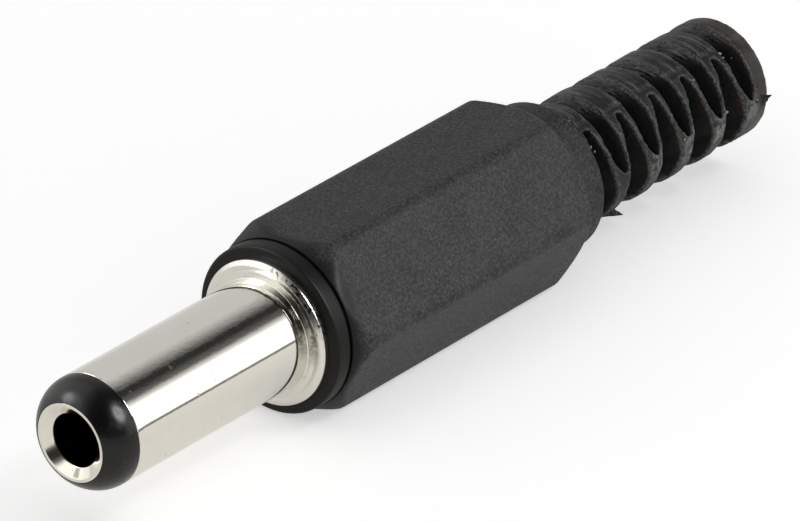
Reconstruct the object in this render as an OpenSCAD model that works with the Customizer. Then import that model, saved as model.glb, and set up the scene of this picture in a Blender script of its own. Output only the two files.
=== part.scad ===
// Solder-type DC barrel plug with a screw-on hexagonal cover.
// The cover and its slotted strain relief are one moulding.
// The plug's axis is X: the tip points along -X and the cable leaves along +X.
// The origin is the centre of the flange's front face, which stops the mating socket.
// The plug lies on one flat of its hexagon, so that flat faces -Z.

/* [Mating barrel] */
// Outside diameter of the plated barrel
barrel_d = 5.5; // [5.2:0.05:5.7]
// Wall thickness of the barrel tube
barrel_wall = 0.5; // [0.4:0.05:0.55]
// Length from the flange's front face to the tip
shaft_l = 13.2; // [10:0.1:16]
// Length of the insulating nose in front of the metal barrel
nose_l = 1.6; // [1.3:0.05:2.2]
// Straight length of the nose next to the metal, before it rounds down to its tip
nose_straight = 0.1; // [0.05:0.05:0.5]
// Flat ring left between the contact's mouth and the nose's rounded side
nose_land = 0.03; // [0.02:0.01:0.3]

/* [Flange and thread] */
// How far the flange stands out from the barrel
flange_rim = 0.825; // [0.6:0.025:1]
// Thickness of the flange
flange_t = 0.5; // [0.4:0.05:1]
// Bevel on the flange's front rim
flange_bevel = 0.2; // [0.1:0.05:0.3]
// How far the thread stands out from the sleeve lug's ring
thread_step = 0.1; // [0.05:0.01:0.2]
// Length of the threaded stub behind the flange
thread_l = 5.5; // [4:0.1:7]
// Wall of the thin neck that is swaged over the sleeve lug
neck_wall = 0.25; // [0.2:0.01:0.3]
// Length of neck that stands out behind the sleeve lug
neck_proud = 0.15; // [0.1:0.01:0.3]

/* [Centre contact] */
// Diameter of the hole for the socket's centre pin
pin_hole_d = 2.58; // [2.4:0.01:2.65]
// Depth of that hole from the tip
pin_hole_l = 12.2; // [8:0.1:13]
// Wall thickness of the contact tube
contact_wall = 0.4; // [0.25:0.05:0.45]
// How far the mouth flares out round the pin hole at the tip
mouth_flare = 0.55; // [0.4:0.01:0.6]
// Depth over which the mouth flares
mouth_l = 0.55; // [0.4:0.05:0.8]
// Metal left round the mouth at the tip
mouth_lip = 0.08; // [0.05:0.01:0.1]
// Diameter of the riveted tail
tail_d = 1.6; // [1.2:0.1:2]
// Diameter of the rivet head
rivet_d = 2.3; // [2.2:0.1:2.6]
// Height of the rivet head
rivet_h = 0.4; // [0.3:0.05:0.6]

/* [Solder lugs and washer] */
// Thickness of both lugs' sheet metal
lug_t = 0.35; // [0.25:0.05:0.45]
// Width of the sleeve lug's ring round the neck
lug_rim = 0.4; // [0.3:0.05:0.5]
// Width of the sleeve lug's strip
strip_w = 2.2; // [1.6:0.1:2.3]
// Diameter of the wire hole in the sleeve lug
strip_hole_d = 1; // [0.6:0.1:1.2]
// Length of the clamp that grips the cable
clamp_l = 3; // [2:0.1:4]
// Height of the clamp's wings above the axis
clamp_h = 1.5; // [1:0.1:1.7]
// Free length between the clamp and the end of the wiring chamber
clamp_gap = 0.8; // [0.4:0.1:1.5]
// Thickness of the insulating washer
washer_t = 0.6; // [0.4:0.05:1]
// How far the washer stays inside the neck's edge
washer_inset = 0.1; // [0.05:0.05:0.4]
// Width of the centre lug
tag_w = 2; // [1.6:0.1:2.4]
// Length of the centre lug behind the washer
tag_l = 4.5; // [3.5:0.1:6]
// Height of the centre lug above the axis
tag_h = 2.1; // [1.9:0.05:2.3]
// Diameter of the wire hole in the centre lug
tag_hole_d = 0.9; // [0.6:0.1:1.1]

/* [Hexagonal cover] */
// Width across the hexagon's flats
across_flats = 8.46; // [8.3:0.02:9.4]
// Radius along the hexagon's long edges
corner_r = 0.8; // [0.3:0.1:1.2]
// Length of the hexagonal body, with its rear chamfer
hex_l = 17.4; // [15:0.1:22]
// How far the round collar at the front stays inside the flats
collar_inset = 0.1; // [0.05:0.01:0.2]
// Length of that collar
collar_l = 0.85; // [0.5:0.05:1.5]
// Radius that rounds the collar's front edge
collar_round = 0.2; // [0.1:0.05:0.3]
// Depth of the groove behind the collar
groove_depth = 0.13; // [0.06:0.01:0.2]
// Width of that groove
groove_w = 0.15; // [0.1:0.01:0.4]
// Length of the nut-like chamfer at the hexagon's front corners
front_chamfer_l = 1.2; // [0.6:0.1:2]
// Length of the chamfer at the hexagon's rear
rear_chamfer_l = 0.9; // [0.5:0.1:2]
// Radial clearance of the thread and the wiring chamber round the sleeve
thread_gap = 0.05; // [0.02:0.01:0.08]

/* [Strain relief] */
// How far the plain shoulder behind the hexagon stays inside the flats
shoulder_drop = 0.5; // [0.3:0.05:0.8]
// Length of that shoulder
shoulder_l = 1.6; // [1.2:0.1:4]
// Radius that rounds the shoulder's rear edge
shoulder_round = 0.25; // [0.1:0.05:0.4]
// Step from the shoulder down to the strain relief
relief_drop = 0.68; // [0.4:0.02:0.8]
// Diameter of the cable hole
cable_hole_d = 3.6; // [3.2:0.1:4.2]
// Number of slots that open to each side
slot_pairs = 5; // [3:1:7]
// Width of one slot along the axis
slot_w = 0.93; // [0.7:0.01:1]
// Thickness of the leaf between two neighbouring slots
leaf_t = 0.295; // [0.25:0.005:0.6]
// How far each slot runs past the axis
slot_past = 1.2; // [0.6:0.05:1.5]
// Plain length in front of the first slot
relief_lead = 0.25; // [0.2:0.05:0.6]
// Length of the plain ring at the cable end
end_ring_l = 1.15; // [0.8:0.05:2.5]
// Radius that rounds the end ring's outer edge
end_round = 0.2; // [0.1:0.05:0.3]

/* [Hidden] */

// Smoothness of turned surfaces, and steps in a rounded edge, a long corner and a slot's end
turn_fn = 96;
round_steps = 6;
corner_steps = 4;
slot_steps = 8;
// Angle between neighbouring flats of the hexagon
flat_turn = 60;
// Overshoot of a cutting tool past the face that it starts from
over = 1;
// The slots open across the corners of the hexagon, 30 degrees off the vertical
slot_turn = 30;
// Radial play of the contact tail in the washer
washer_play = 0.05;
// Length of the cone that leads the cable from the wiring chamber into its hole
funnel_l = 2.3;
// Plain end wall of the wiring chamber inside the hexagon's rear
chamber_wall = 1.7;
// Step from the hexagon's rear chamfer down to the shoulder
chamfer_step = 0.2;
// How far inside the flats the front chamfer starts
chamfer_start = 0.06;
// Chamfer at the end of the thread
thread_chamfer = 0.3;
// Length over which the contact's outside swells to its mouth
swell_l = 0.8;

// Radii
barrel_r = barrel_d / 2;
sleeve_bore_r = barrel_r - barrel_wall;
neck_r = sleeve_bore_r + neck_wall;
lug_ring_r = neck_r + lug_rim;
thread_r = lug_ring_r + thread_step;
flange_r = barrel_r + flange_rim;
pin_hole_r = pin_hole_d / 2;
contact_r = pin_hole_r + contact_wall;
mouth_r = pin_hole_r + mouth_flare;
lip_r = mouth_r + mouth_lip;
cover_bore_r = thread_r + thread_gap;
cable_hole_r = cable_hole_d / 2;
collar_r = across_flats / 2 - collar_inset;
groove_r = collar_r - groove_depth;
hex_corner_r = across_flats / 2 / cos(flat_turn / 2);
shoulder_r = across_flats / 2 - shoulder_drop;
relief_r = shoulder_r - relief_drop;

// The nose rounds down to its tip in one arc that is tangent to the barrel
nose_drop = barrel_r - lip_r - nose_land;
nose_taper_l = nose_l - nose_straight;
nose_arc_r = (pow(nose_drop, 2) + pow(nose_taper_l, 2)) / nose_drop / 2;

// Places along the axis
x_tip = -shaft_l;
x_nose = x_tip + nose_l;
x_cover = flange_t;
x_thread = x_cover + thread_l;
x_neck = x_thread + lug_t + neck_proud;
x_washer = x_neck + washer_t;
x_rivet = x_washer + lug_t;
x_hex = x_cover + collar_l + groove_w;
x_hex_rear = x_hex + hex_l;
x_chamber = x_hex_rear - chamber_wall;
x_clamp = x_chamber - clamp_gap - clamp_l;
x_shoulder = x_hex_rear + shoulder_l;
slot_pitch = 2 * (slot_w + leaf_t);
x_slots = x_shoulder + relief_lead;
x_end = x_slots + slot_pairs * slot_pitch - leaf_t + end_ring_l;

// Points of an arc in an outline, from angle a0 to a1
function arc(centre, r, a0, a1, steps = round_steps) =
    [for (i = [0:steps]) let (a = a0 + (a1 - a0) * i / steps) centre + r * [cos(a), sin(a)]];

// A hexagon with rounded corners, flats square to its first axis
function rounded_hexagon(flats, r) =
    let (half = flat_turn / 2, reach = (flats / 2 - r) / cos(half))
    [for (a = [half:flat_turn:360])
        each arc(reach * [cos(a), sin(a)], r, a - half, a + half, corner_steps)];

// A turned solid from an outline of [radius, place along the axis]
module turned(outline) {
    rotate([0, 90, 0]) rotate_extrude($fn = turn_fn) polygon(outline);
}

// A rod or a drill along the axis, from x0 to x1
module along(x0, x1, r, r2 = -1) {
    translate([x0, 0, 0]) rotate([0, 90, 0])
        cylinder(h = x1 - x0, r1 = r, r2 = r2 < 0 ? r : r2, $fn = turn_fn);
}

// Barrel tube, flange, threaded stub and swaged neck: one turned and plated piece
module outer_sleeve() {
    color([0.78, 0.77, 0.73])
    difference() {
        turned([
            [0, x_nose], [barrel_r, x_nose], [barrel_r, 0],
            [flange_r - flange_bevel, 0], [flange_r, flange_bevel],
            [flange_r, x_cover], [thread_r, x_cover],
            [thread_r, x_thread - thread_chamfer], [thread_r - thread_chamfer, x_thread],
            [neck_r, x_thread], [neck_r, x_neck], [0, x_neck]
        ]);
        along(x_nose - over, x_neck + over, sleeve_bore_r);
    }
}

// Nose and liner: one insulating moulding that fills the sleeve round the contact
module nose_insulator() {
    color([0.07, 0.07, 0.075])
    difference() {
        turned(concat(
            [[0, x_neck], [sleeve_bore_r, x_neck], [sleeve_bore_r, x_nose], [barrel_r, x_nose]],
            arc([barrel_r - nose_arc_r, x_tip + nose_taper_l], nose_arc_r, 0,
                -asin(nose_taper_l / nose_arc_r)),
            [[0, x_tip]]
        ));
        along(x_tip - over, x_neck + over, contact_r);
        along(x_tip, x_tip + swell_l, lip_r, contact_r);
    }
}

// Tubular contact with a flared mouth and a tail that is riveted over the centre lug
module centre_contact() {
    color([0.80, 0.78, 0.70])
    difference() {
        turned(concat(
            [[0, x_tip], [lip_r, x_tip], [contact_r, x_tip + swell_l], [contact_r, x_neck],
             [tail_d / 2, x_neck], [tail_d / 2, x_rivet], [rivet_d / 2, x_rivet]],
            arc([rivet_d / 2 - rivet_h, x_rivet], rivet_h, 0, 90),
            [[0, x_rivet + rivet_h]]
        ));
        along(x_tip - over, x_tip + pin_hole_l, pin_hole_r);
        along(x_tip, x_tip + mouth_l, mouth_r, pin_hole_r);
    }
}

// Fibre washer that keeps the centre lug off the sleeve
module insulating_washer() {
    color([0.45, 0.26, 0.14])
    difference() {
        along(x_neck, x_washer, neck_r - washer_inset);
        along(x_neck - over, x_washer + over, tail_d / 2 + washer_play);
    }
}

// Bent tag on the centre contact, with a hole for the inner wire
module centre_lug() {
    x_hole = x_washer + tag_l - tag_w / 2;
    color([0.74, 0.73, 0.70])
    difference() {
        union() {
            along(x_washer, x_rivet, rivet_d / 2 + lug_t);
            translate([x_washer, -tag_w / 2, 0])
                cube([lug_t, tag_w, tag_h]);
            translate([x_washer, -tag_w / 2, tag_h - lug_t])
                cube([x_hole - x_washer, tag_w, lug_t]);
            translate([x_hole, 0, tag_h - lug_t])
                cylinder(h = lug_t, d = tag_w, $fn = turn_fn);
        }
        along(x_washer - over, x_rivet + over, tail_d / 2);
        translate([x_hole, 0, tag_h - lug_t - over])
            cylinder(h = lug_t + 2 * over, d = tag_hole_d, $fn = turn_fn);
    }
}

// Ring, strip and cable clamp: one pressing, with the ring swaged onto the sleeve's neck
module sleeve_lug() {
    x_lug_end = x_clamp + clamp_l;
    below = lug_ring_r + over;
    color([0.74, 0.73, 0.70])
    difference() {
        intersection() {
            along(x_thread, x_lug_end, lug_ring_r);
            union() {
                translate([x_thread - over, -below, -below])
                    cube([lug_t + over, 2 * below, 2 * below]);
                translate([x_thread, -strip_w / 2, -below])
                    cube([x_lug_end - x_thread, strip_w, below]);
                translate([x_clamp, -below, -below])
                    cube([clamp_l + over, 2 * below, below + clamp_h]);
            }
        }
        turned([
            [0, x_thread - over], [neck_r, x_thread - over], [neck_r, x_thread + lug_t],
            [lug_ring_r - lug_t, x_thread + lug_t], [lug_ring_r - lug_t, x_lug_end + over],
            [0, x_lug_end + over]
        ]);
        translate([(x_thread + x_clamp) / 2, 0, -below])
            cylinder(h = below, d = strip_hole_d, $fn = turn_fn);
    }
}

// One slot: a slab with a round inner edge that opens to one side of the strain relief
module relief_slot() {
    reach = shoulder_r + over;
    rotate([90, 0, 0]) linear_extrude(height = 2 * reach, center = true)
        polygon(concat(
            [[slot_w, reach], [0, reach]],
            arc([slot_w / 2, slot_w / 2 - slot_past], slot_w / 2, 180, 360, slot_steps)
        ));
}

// Slots open in turn to the two sides of the mould, half a pitch apart
module relief_slots() {
    for (k = [0:2 * slot_pairs - 1])
        translate([x_slots + k * slot_pitch / 2, 0, 0])
            rotate([(k % 2 == 0 ? 180 : 0) - slot_turn, 0, 0])
                relief_slot();
}

// Collar, core, shoulder and strain relief, turned about the axis
module cover_core() {
    turned(concat(
        [[0, x_cover], [collar_r - collar_round, x_cover]],
        arc([collar_r - collar_round, x_cover + collar_round], collar_round, -90, 0),
        [[collar_r, x_cover + collar_l], [groove_r, x_cover + collar_l],
         [groove_r, x_hex + front_chamfer_l], [shoulder_r, x_hex + front_chamfer_l]],
        arc([shoulder_r - shoulder_round, x_shoulder - shoulder_round], shoulder_round, 0, 90),
        [[relief_r, x_shoulder]],
        arc([relief_r - end_round, x_end - end_round], end_round, 0, 90),
        [[0, x_end]]
    ));
}

// Hexagonal body, with a nut-like chamfer in front and a chamfered rear
module cover_hexagon() {
    intersection() {
        translate([x_hex - over, 0, 0]) rotate([0, 90, 0])
            linear_extrude(height = hex_l + 2 * over)
                polygon(rounded_hexagon(across_flats, corner_r));
        turned([
            [0, x_hex], [across_flats / 2 - chamfer_start, x_hex],
            [hex_corner_r, x_hex + front_chamfer_l], [hex_corner_r, x_hex_rear - rear_chamfer_l],
            [shoulder_r + chamfer_step, x_hex_rear], [0, x_hex_rear]
        ]);
    }
}

// Cover with its strain relief: one moulding, bored for the thread, the wiring and the cable
module cover() {
    color([0.11, 0.11, 0.115])
    difference() {
        union() {
            cover_core();
            cover_hexagon();
        }
        turned([
            [0, x_cover - over], [cover_bore_r, x_cover - over], [cover_bore_r, x_chamber],
            [cable_hole_r, x_chamber + funnel_l], [cable_hole_r, x_end + over],
            [0, x_end + over]
        ]);
        relief_slots();
    }
}

outer_sleeve();
nose_insulator();
centre_contact();
insulating_washer();
centre_lug();
sleeve_lug();
cover();
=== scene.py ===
"""A solder-type DC barrel plug with a screw-on hexagonal cover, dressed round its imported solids."""
import logging
import math
from dataclasses import dataclass
from enum import Enum
from typing import Any, Callable, Dict, List, Optional, Sequence, Tuple, Union

import bmesh
import bpy
import numpy as np
from mathutils import Matrix, Vector


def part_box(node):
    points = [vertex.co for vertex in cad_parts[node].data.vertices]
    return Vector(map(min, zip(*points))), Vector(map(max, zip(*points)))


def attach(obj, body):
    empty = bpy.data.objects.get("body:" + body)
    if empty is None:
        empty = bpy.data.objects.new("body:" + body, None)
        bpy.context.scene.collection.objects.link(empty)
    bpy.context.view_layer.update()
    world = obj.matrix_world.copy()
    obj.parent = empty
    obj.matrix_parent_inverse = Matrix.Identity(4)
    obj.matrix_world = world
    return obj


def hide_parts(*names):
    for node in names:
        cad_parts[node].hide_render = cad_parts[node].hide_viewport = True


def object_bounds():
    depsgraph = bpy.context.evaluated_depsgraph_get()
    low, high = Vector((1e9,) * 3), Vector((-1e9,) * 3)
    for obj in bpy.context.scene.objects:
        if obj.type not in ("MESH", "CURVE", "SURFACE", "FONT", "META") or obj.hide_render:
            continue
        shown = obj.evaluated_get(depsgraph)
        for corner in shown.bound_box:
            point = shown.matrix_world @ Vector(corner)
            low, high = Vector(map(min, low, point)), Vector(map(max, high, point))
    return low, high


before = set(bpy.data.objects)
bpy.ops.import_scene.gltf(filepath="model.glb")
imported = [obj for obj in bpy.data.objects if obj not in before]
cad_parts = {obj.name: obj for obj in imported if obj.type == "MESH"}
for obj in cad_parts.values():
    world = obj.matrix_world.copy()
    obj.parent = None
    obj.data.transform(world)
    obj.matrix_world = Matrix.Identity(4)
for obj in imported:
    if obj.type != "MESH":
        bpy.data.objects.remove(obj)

LOG = logging.getLogger("plug")
MM = 0.001
TURN = 2 * math.pi
CAD_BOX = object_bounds()
EDGE = "edge"

Point = Tuple[float, float, float]
Colour = Tuple[float, float, float]
Spot = Tuple[float, float]
Corner = Tuple[float, float, float]
Shape = Callable[[np.ndarray, np.ndarray, np.ndarray], np.ndarray]


class Body(Enum):
    """The bodies that pieces ride on."""

    CORE = "core"
    COVER = "cover"


class Slot(Enum):
    """The record's material slots."""

    NICKEL = "nickel"
    CONTACT = "contact_nickel"
    NOSE = "nose_plastic"
    COVER = "cover_plastic"


# ---------------------------------------------------------------- node trees


class Val:
    """A node socket that takes part in Python expressions; each operator adds a Math node."""

    def __init__(self, graph: "Graph", socket: bpy.types.NodeSocket) -> None:
        """Wraps a socket of a graph's tree."""
        self.graph = graph
        self.socket = socket

    def _math(self, operation: str, *others: "Number") -> "Val":
        """Adds one Math node with this value as its first operand."""
        return self.graph.math(operation, self, *others)

    def __add__(self, other: "Number") -> "Val":
        """self + other."""
        return self._math("ADD", other)

    __radd__ = __add__

    def __sub__(self, other: "Number") -> "Val":
        """self - other."""
        return self._math("SUBTRACT", other)

    def __rsub__(self, other: "Number") -> "Val":
        """other - self."""
        return self.graph.math("SUBTRACT", other, self)

    def __mul__(self, other: "Number") -> "Val":
        """self * other."""
        return self._math("MULTIPLY", other)

    __rmul__ = __mul__

    def __truediv__(self, other: "Number") -> "Val":
        """self / other."""
        return self._math("DIVIDE", other)

    def __neg__(self) -> "Val":
        """-self."""
        return self._math("MULTIPLY", -1.0)

    def root(self) -> "Val":
        """The square root."""
        return self._math("SQRT")

    def size(self) -> "Val":
        """The absolute value."""
        return self._math("ABSOLUTE")

    def low(self, other: "Number") -> "Val":
        """The lower of two values."""
        return self._math("MINIMUM", other)

    def high(self, other: "Number") -> "Val":
        """The higher of two values."""
        return self._math("MAXIMUM", other)

    def within(self, low: float, high: float) -> "Val":
        """The value held between two limits."""
        return self.high(low).low(high)

    def soft_high(self, other: "Number", width: float) -> "Val":
        """The higher of two values, with the crease between them rounded over a width."""
        return self._math("SMOOTH_MAX", other, width)

    def step(self, start: float, end: float) -> "Val":
        """A smooth rise from 0 at start to 1 at end; a start past the end makes it a fall."""
        first, last = (0.0, 1.0) if start < end else (1.0, 0.0)
        return self.graph.value(
            "ShaderNodeMapRange", {"interpolation_type": "SMOOTHSTEP"},
            {"Value": self, "From Min": min(start, end), "From Max": max(start, end),
             "To Min": first, "To Max": last}, "Result")


Number = Union[Val, float]


@dataclass(frozen=True)
class Span:
    """A range with soft ends: it rises from start to full and falls from fading to end."""

    start: float
    full: float
    fading: float
    end: float

    def of(self, value: Val) -> Val:
        """1 where a value lies inside the range and 0 outside it."""
        return value.step(self.start, self.full) * value.step(self.end, self.fading)


class Graph:
    """A node tree with one method that makes any node."""

    def __init__(self, tree: bpy.types.NodeTree) -> None:
        """Wraps a shader or geometry tree."""
        self.tree = tree

    def node(self, kind: str, settings: Optional[Dict[str, Any]] = None,
             inputs: Optional[Dict[Any, Any]] = None) -> bpy.types.Node:
        """Makes a node, sets it up and connects it.

        Args:
            kind: the node's type.
            settings: its own settings, set first; "stops" fills a colour ramp.
            inputs: values or links of its sockets, by name or place.

        Returns:
            The node.
        """
        node = self.tree.nodes.new(kind)
        for key, value in (settings or {}).items():
            if key == "stops":
                self._fill_ramp(node.color_ramp, value)
            else:
                setattr(node, key, value)
        for key, value in (inputs or {}).items():
            socket = node.inputs[key]
            if isinstance(value, Val):
                value = value.socket
            if isinstance(value, bpy.types.NodeSocket):
                self.tree.links.new(value, socket)
            else:
                socket.default_value = value
        return node

    @staticmethod
    def _fill_ramp(ramp: bpy.types.ColorRamp, stops: Sequence[Tuple[float, Colour]]) -> None:
        """Fills a colour ramp with (place, colour) stops."""
        while len(ramp.elements) > 1:
            ramp.elements.remove(ramp.elements[-1])
        for i, (place, colour) in enumerate(stops):
            element = ramp.elements[0] if i == 0 else ramp.elements.new(place)
            element.position = place
            element.color = opaque(colour)

    def link(self, kind: str, settings: Optional[Dict[str, Any]] = None,
             inputs: Optional[Dict[Any, Any]] = None, output: Any = 0) -> bpy.types.NodeSocket:
        """Makes a node and returns one of its outputs."""
        return self.node(kind, settings, inputs).outputs[output]

    def value(self, kind: str, settings: Optional[Dict[str, Any]] = None,
              inputs: Optional[Dict[Any, Any]] = None, output: Any = 0) -> Val:
        """Makes a node and returns one of its outputs as a value."""
        return Val(self, self.link(kind, settings, inputs, output))

    def math(self, operation: str, *operands: Number) -> Val:
        """Adds a Math node on values and links."""
        return self.value("ShaderNodeMath", {"operation": operation}, dict(enumerate(operands)))

    def vector(self, operation: str, inputs: Dict[Any, Any]) -> bpy.types.NodeSocket:
        """Adds a Vector Math node on values and links."""
        return self.link("ShaderNodeVectorMath", {"operation": operation}, inputs)

    def parts(self, vector: bpy.types.NodeSocket) -> Tuple[Val, Val, Val]:
        """Splits a vector into its x, y and z."""
        split = self.node("ShaderNodeSeparateXYZ", None, {0: vector})
        return Val(self, split.outputs[0]), Val(self, split.outputs[1]), Val(self, split.outputs[2])

    def mix(self, factor: Number, first: Any, second: Any) -> bpy.types.NodeSocket:
        """Mixes two colours.

        Args:
            factor: the share of the second.
            first: a colour or a link.
            second: a colour or a link.

        Returns:
            The mixed colour's socket.
        """
        pair = [opaque(c) if isinstance(c, tuple) else c for c in (first, second)]
        return self.link("ShaderNodeMix", {"data_type": "RGBA"},
                         {0: factor, 6: pair[0], 7: pair[1]}, 2)


def opaque(colour: Colour) -> Tuple[float, float, float, float]:
    """A colour with full alpha."""
    return (*colour, 1.0)


def scaled(colour: Colour, factor: float) -> Colour:
    """A colour made darker or lighter by one factor."""
    return tuple(factor * c for c in colour)


@dataclass
class Coat:
    """What varies over a surface: colour, roughness, relief, and where it turns dull."""

    colour: Any
    rough: Val
    height: Val
    dull: Optional[Tuple[Val, Any]] = None


class Surface(Graph):
    """A material's shader tree, in millimetres of Object coordinates."""

    def __init__(self, name: str) -> None:
        """Starts a material whose tree holds only the place on the object.

        Args:
            name: the material's name.
        """
        self.material = bpy.data.materials.new(name)
        self.material.use_nodes = True
        super().__init__(self.material.node_tree)
        self.tree.nodes.clear()
        coordinates = self.link("ShaderNodeTexCoord", output="Object")
        self.place = self.link("ShaderNodeMapping", None,
                               {"Vector": coordinates, "Scale": (1 / MM,) * 3})
        self.x, self.y, self.z = self.parts(self.place)
        self.radius = (self.y * self.y + self.z * self.z).root()
        self.turn = self.math("ARCTAN2", -self.y, self.z) * (360 / TURN)

    def noise(self, scale: float, detail: float = 2.0, stretch: Point = (1, 1, 1),
              roughness: float = 0.5) -> Val:
        """Noise per millimetre.

        Args:
            scale: cells in a millimetre.
            detail: finer layers.
            stretch: how the place is scaled by axis first.
            roughness: the finer layers' share.

        Returns:
            A value round 0.5.
        """
        place = self.link("ShaderNodeMapping", None, {"Vector": self.place, "Scale": stretch})
        return self.value("ShaderNodeTexNoise", None,
                          {"Vector": place, "Scale": scale, "Detail": detail,
                           "Roughness": roughness})

    def rings(self, scale: float) -> Val:
        """Noise that changes with the radius only, as a turning tool leaves it."""
        return self.value("ShaderNodeTexNoise", {"noise_dimensions": "1D"},
                          {"W": self.radius * scale, "Detail": 3.0})

    def finish(self, coat: Coat, relief: float, **constants: float) -> bpy.types.Material:
        """Ends the tree in one Principled shader, with a sheenless one where the coat is dull.

        Args:
            coat: what varies over the surface.
            relief: what 1 of the coat's height measures, in millimetres.
            constants: the shader's other inputs, with _ for a space.

        Returns:
            The material.
        """
        bump = self.link("ShaderNodeBump", None,
                         {"Strength": 1.0, "Distance": relief * MM, "Height": coat.height})
        inputs = {key.replace("_", " "): value for key, value in constants.items()}
        inputs.update({"Base Color": coat.colour, "Roughness": coat.rough, "Normal": bump})
        shader = self.link("ShaderNodeBsdfPrincipled", None, inputs)
        if coat.dull is not None:
            flat = self.link("ShaderNodeBsdfPrincipled", None,
                             {"Base Color": coat.dull[1], "Roughness": 1.0,
                              "Specular IOR Level": 0.0})
            shader = self.link("ShaderNodeMixShader", None, {0: coat.dull[0], 1: shader, 2: flat})
        self.node("ShaderNodeOutputMaterial", None, {"Surface": shader})
        return self.material


# ---------------------------------------------------------------- finishes


@dataclass(frozen=True)
class Plating:
    """Bright nickel plate with a slight orange-peel, draw lines, hairlines and a few nicks."""

    name: str
    tint: Colour = (0.78, 0.765, 0.715)
    worn: Colour = (0.93, 0.91, 0.86)
    roughness: float = 0.05
    peel: float = 0.0014
    nick_shade: float = 0.4

    def material(self) -> bpy.types.Material:
        """Builds the material."""
        s = Surface(self.name)
        peel = s.noise(2.6, 3.0, (0.6, 1, 1))
        lines = s.noise(9.0, 3.0, (1, 0.35, 0.35))
        hairs = s.noise(5.0, 2.0, (0.5, 3, 3)).step(0.66, 0.72)
        nicks = s.noise(1.5, 4.0, roughness=0.7).step(0.66, 0.70)
        stain_and_dark_reflection = s.noise(0.7, 3.0)
        worn = tuple(c * k for c, k in zip(self.tint, self.worn))
        colour = self.tinted(s, s.mix(stain_and_dark_reflection.step(0.42, 0.72) * 0.35, self.tint, worn))
        coat = Coat(
            s.mix(nicks * 0.5, colour, scaled(self.tint, self.nick_shade)),
            self.roughness + (lines - 0.5).size() * 0.06 + stain_and_dark_reflection.step(0.5, 0.75) * 0.04
            + nicks * 0.2,
            peel * 0.7 - hairs * 0.15 - nicks * 0.9)
        self.scuff(s, coat)
        return s.finish(coat, self.peel, Metallic=1.0)

    def tinted(self, s: Surface, colour: Any) -> Any:
        """The plate's colour before it is nicked."""
        return colour

    def scuff(self, s: Surface, coat: Coat) -> None:
        """Adds handling marks to the coat."""


@dataclass(frozen=True)
class MouthPlating(Plating):
    """Plating of the contact: bare brass inside the bore and a dark brown streak across the mouth."""

    brass: Colour = (0.50, 0.30, 0.12)
    brass_from: float = -12.92
    brass_blend: float = 0.12
    # Colour and place of a dark brown streak across the mouth at one turn.
    streak_colour: Colour = (0.11, 0.07, 0.04)
    streak_turn: float = 174.0
    streak_half: Spot = (3.0, 8.0)
    streak_from: Spot = (-13.19, -13.12)
    streak_share: float = 0.6

    def tinted(self, s: Surface, colour: Any) -> Any:
        """Turns the bore to brass and draws a dark brown streak across the mouth.

        Args:
            s: the material's tree.
            colour: the plate's colour.

        Returns:
            The colour's link.
        """
        bare = s.x.step(self.brass_from, self.brass_from + self.brass_blend)
        colour = s.mix(bare, colour, self.brass)
        # A dark brown streak across the mouth at one turn, near the tip.
        inner, outer = self.streak_half
        streak = (s.turn - self.streak_turn).size().step(outer, inner) * s.x.step(*self.streak_from)
        return s.mix(streak * self.streak_share, colour, self.streak_colour)


@dataclass(frozen=True)
class ScuffedPlating(Plating):
    """Plating of the sleeve: a mottled band along the barrel and a turned flange with a painted dark
    reflection over part of its face.

    Turns are in degrees from the top towards the side that is seen.
    """

    band: Span = Span(14, 24, 40, 50)
    band_height: float = 5.0
    face_from: Spot = (2.77, 2.82)
    face_until: Spot = (0.7, 0.6)
    # Painted reflection: a dark brownish tint, streaked, over part of the flange's face, standing in
    # for the barrel's dark side mirrored there.
    stain_and_dark_reflection: Colour = (0.13, 0.115, 0.085)
    dark_reflection_turn: Span = Span(18, 45, 78, 112)
    dark_reflection_until: Spot = (3.47, 3.32)
    dark_reflection_share: float = 0.88
    rag: Colour = (0.02, 0.02, 0.018)
    rag_turn: Span = Span(2, 20, 70, 88)
    rag_from: Spot = (3.3, 3.4)
    ring_scale: float = 22.0

    def scuff(self, s: Surface, coat: Coat) -> None:
        """Mottles the band; paints a dark reflection over the flange's face, rings the face and
        darkens its ragged edge.

        Args:
            s: the material's tree.
            coat: the plate's coat, which is changed.
        """
        mottle = s.noise(4.0, 2.0, (0.8, 1, 1)) * self.band.of(s.turn) * self.band_height
        face = s.radius.step(*self.face_from) * s.x.step(*self.face_until)
        streaks = s.noise(3.0, 4.0, roughness=0.65)
        # Painted dark reflection on the flange's face over the turns given, streaked.
        dark_reflection = self.dark_reflection_turn.of(s.turn) * (0.45 + streaks.step(0.35, 0.6) * 0.55) \
            * s.radius.step(*self.dark_reflection_until)
        coat.colour = s.mix(face * dark_reflection * self.dark_reflection_share, coat.colour, self.stain_and_dark_reflection)
        ragged = s.noise(5.0, 3.0).step(0.56, 0.62) * s.radius.step(*self.rag_from) \
            * self.rag_turn.of(s.turn)
        coat.colour = s.mix(face * ragged * 0.9, coat.colour, self.rag)
        coat.rough = coat.rough + face * (0.08 + streaks * 0.12)
        turned = s.rings(self.ring_scale) * 1.3 + streaks * 1.2
        coat.height = coat.height + mottle + face * turned


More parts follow.
